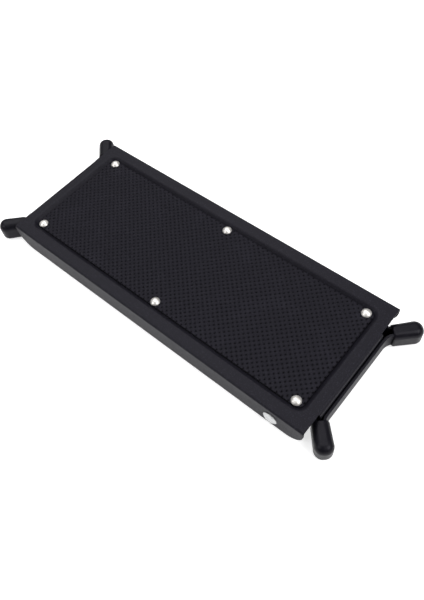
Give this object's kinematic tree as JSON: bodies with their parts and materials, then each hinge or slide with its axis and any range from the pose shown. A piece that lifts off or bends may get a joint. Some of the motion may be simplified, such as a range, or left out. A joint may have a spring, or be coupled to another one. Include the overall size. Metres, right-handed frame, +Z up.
{
  "type": "folding foot rest",
  "caption": "Folding foot rest: pressed steel platform with a riveted rubber tread on two crossed legs that lie flat under it, with splayed rubber-capped feet.",
  "frame": {"origin": "on the floor under the middle of the folded platform", "axes": "+X along the platform towards its hinged end, +Y towards the far side, +Z up"},
  "size_m": [0.2928, 0.1166, 0.0194],
  "materials": {
    "black_paint": "satin",
    "mat_rubber": "matte",
    "cap_rubber": "satin",
    "bright_steel": "polished",
    "zinc_steel": "satin"
  },
  "bodies": {
    "platform": {"hinge_rivet_far": "bright_steel", "hinge_rivet_near": "bright_steel", "mat_rivet_far_left": "bright_steel", "mat_rivet_far_middle": "bright_steel", "mat_rivet_far_right": "bright_steel", "mat_rivet_near_left": "bright_steel", "mat_rivet_near_middle": "bright_steel", "mat_rivet_near_right": "bright_steel", "rack_far": "black_paint", "rack_near": "black_paint", "top_plate": "black_paint", "tread_mat": "mat_rubber"},
    "outer_leg": {"foot_cap_outer_far": "cap_rubber", "foot_cap_outer_near": "cap_rubber", "hinge_washer_far": "zinc_steel", "hinge_washer_near": "zinc_steel", "leg_outer": "black_paint", "scissor_rivet_far": "zinc_steel", "scissor_rivet_near": "zinc_steel", "scissor_washer_far": "zinc_steel", "scissor_washer_near": "zinc_steel"},
    "inner_leg": {"bar_nut_far": "zinc_steel", "bar_nut_near": "zinc_steel", "foot_cap_inner_far": "cap_rubber", "foot_cap_inner_near": "cap_rubber", "leg_inner": "black_paint", "lock_bar": "zinc_steel"}
  },
  "joints": [
    {"name": "outer_leg_hinge", "type": "hinge", "parent": "platform", "child": "outer_leg", "pos_m": [0.1047, 0, 0.0084], "axis": [0, -1, 0], "range_deg": [0, 47]},
    {"name": "scissor_pivot", "type": "hinge", "parent": "outer_leg", "child": "inner_leg", "pos_m": [0, 0, 0.0084], "axis": [0, 1, 0], "range_deg": [0, 94]}
  ],
  "couplings": [
    {"joint": "scissor_pivot", "follows": "outer_leg_hinge", "ratio": 2}
  ]
}
